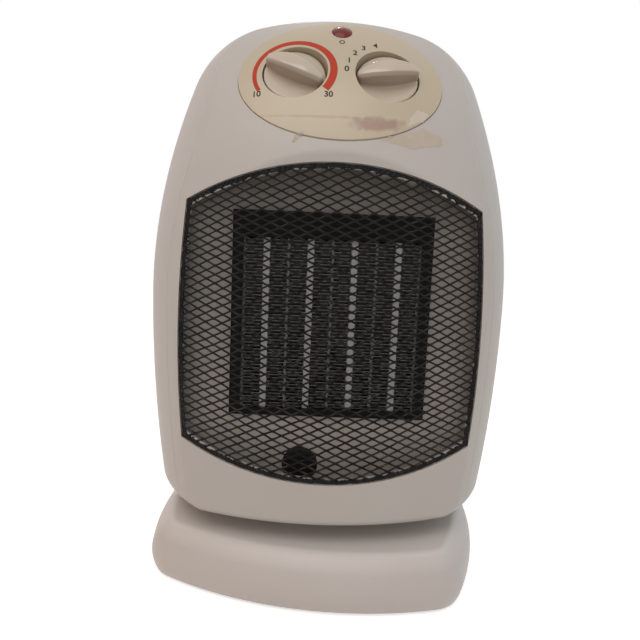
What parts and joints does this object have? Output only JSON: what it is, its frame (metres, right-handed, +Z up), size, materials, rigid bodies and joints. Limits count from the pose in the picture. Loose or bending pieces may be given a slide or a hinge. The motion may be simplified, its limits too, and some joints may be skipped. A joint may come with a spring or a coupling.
{
  "type": "ceramic space heater",
  "caption": "Small oscillating ceramic space heater: rounded tapering body with a bowed black mesh grille over a ceramic element, a fan behind it, two knobs on the brow and a swivel base.",
  "frame": {"origin": "on the swivel axis, on the surface that the heater stands on", "axes": "+Z up along the swivel axis, -Y to the front of the body, +X to its right side seen from the front"},
  "size_m": [0.1862, 0.1682, 0.2752],
  "materials": {
    "housing_plastic": "fine-grained warm light grey moulded plastic",
    "base_plastic": "warm light grey moulded plastic, slightly pinker",
    "panel_plastic": "cream moulded plastic",
    "knob_plastic": "glossy off-white plastic",
    "black_mesh": "black painted expanded metal",
    "lens_red": "red translucent plastic",
    "lamp_glass": "clear sleeve and bulb",
    "liner_sheet": "dull aluminium sheet",
    "black_rubber": "black rubber",
    "frame_plastic": "black heat-proof moulding",
    "ptc_ceramic": "grey ceramic",
    "fin_aluminium": "bright aluminium strip",
    "control_plastic": "dark moulded control cases",
    "terminal_plastic": "white moulding",
    "fan_plastic": "dark grey heat-proof moulding",
    "steel": "zinc-plated steel",
    "motor_steel": "varnished steel laminations",
    "coil_tape": "yellow tape over copper wire",
    "nylon": "white nylon"
  },
  "bodies": {
    "base": {"base_shell": "base_plastic", "base_plate": "frame_plastic", "base_feet": "black_rubber", "base_screws": "steel", "glide_ring": "nylon", "swivel_retainer": "steel", "swivel_screw": "steel"},
    "heater_body": {"front_housing": "housing_plastic", "rear_housing": "housing_plastic", "front_grille": "black_mesh", "control_panel": "panel_plastic", "thermostat": "control_plastic", "rotary_switch": "control_plastic", "pilot_lens": "lens_red", "neon_lamp": "lamp_glass", "liner_plate": "liner_sheet", "wire_grommet": "black_rubber", "ptc_frame": "frame_plastic", "ptc_ceramics": "ptc_ceramic", "ptc_plates": "fin_aluminium", "ptc_fins": "fin_aluminium", "thermal_cutoff": "control_plastic", "fan_duct": "frame_plastic", "motor_strap": "steel", "motor_core": "motor_steel", "motor_coil": "coil_tape", "front_bearing_bracket": "steel", "rear_bearing_bracket": "steel", "motor_sleeves": "steel", "motor_screws": "steel", "strap_screws": "steel", "liner_screws": "steel", "housing_screws": "steel", "cord_gland": "black_rubber", "tip_over_switch": "control_plastic", "terminal_block": "terminal_plastic", "swing_motor": "steel"},
    "fan": {"fan_impeller": "fan_plastic", "motor_rotor": "steel"},
    "thermostat_dial": {"thermostat_knob": "knob_plastic", "thermostat_spindle": "steel"},
    "selector_dial": {"selector_knob": "knob_plastic", "selector_spindle": "steel"},
    "crank": {"swing_crank": "nylon"}
  },
  "joints": [
    {"name": "oscillate", "type": "hinge", "parent": "base", "child": "heater_body", "pos_m": [0, 0, 0.035], "axis": [0, 0, 1], "range_deg": [-38.5, 21.5]},
    {"name": "crank_turn", "type": "hinge", "parent": "heater_body", "child": "crank", "pos_m": [0.042, 0, 0.032], "axis": [0, 0, 1], "range_deg": [-72, 128]},
    {"name": "fan_spin", "type": "hinge", "parent": "heater_body", "child": "fan", "pos_m": [0, -0.01, 0.1276], "axis": [0, 1, 0], "continuous": true},
    {"name": "thermostat_turn", "type": "hinge", "parent": "heater_body", "child": "thermostat_dial", "pos_m": [-0.02035, -0.05821, 0.235], "axis": [0, -0.8988, 0.4384], "range_deg": [-203, 67]},
    {"name": "selector_turn", "type": "hinge", "parent": "heater_body", "child": "selector_dial", "pos_m": [0.02035, -0.05821, 0.235], "axis": [0, -0.8988, 0.4384], "range_deg": [-78, 0]}
  ],
  "couplings": [
    {"joint": "crank_turn", "follows": "oscillate", "ratio": -3.3}
  ]
}
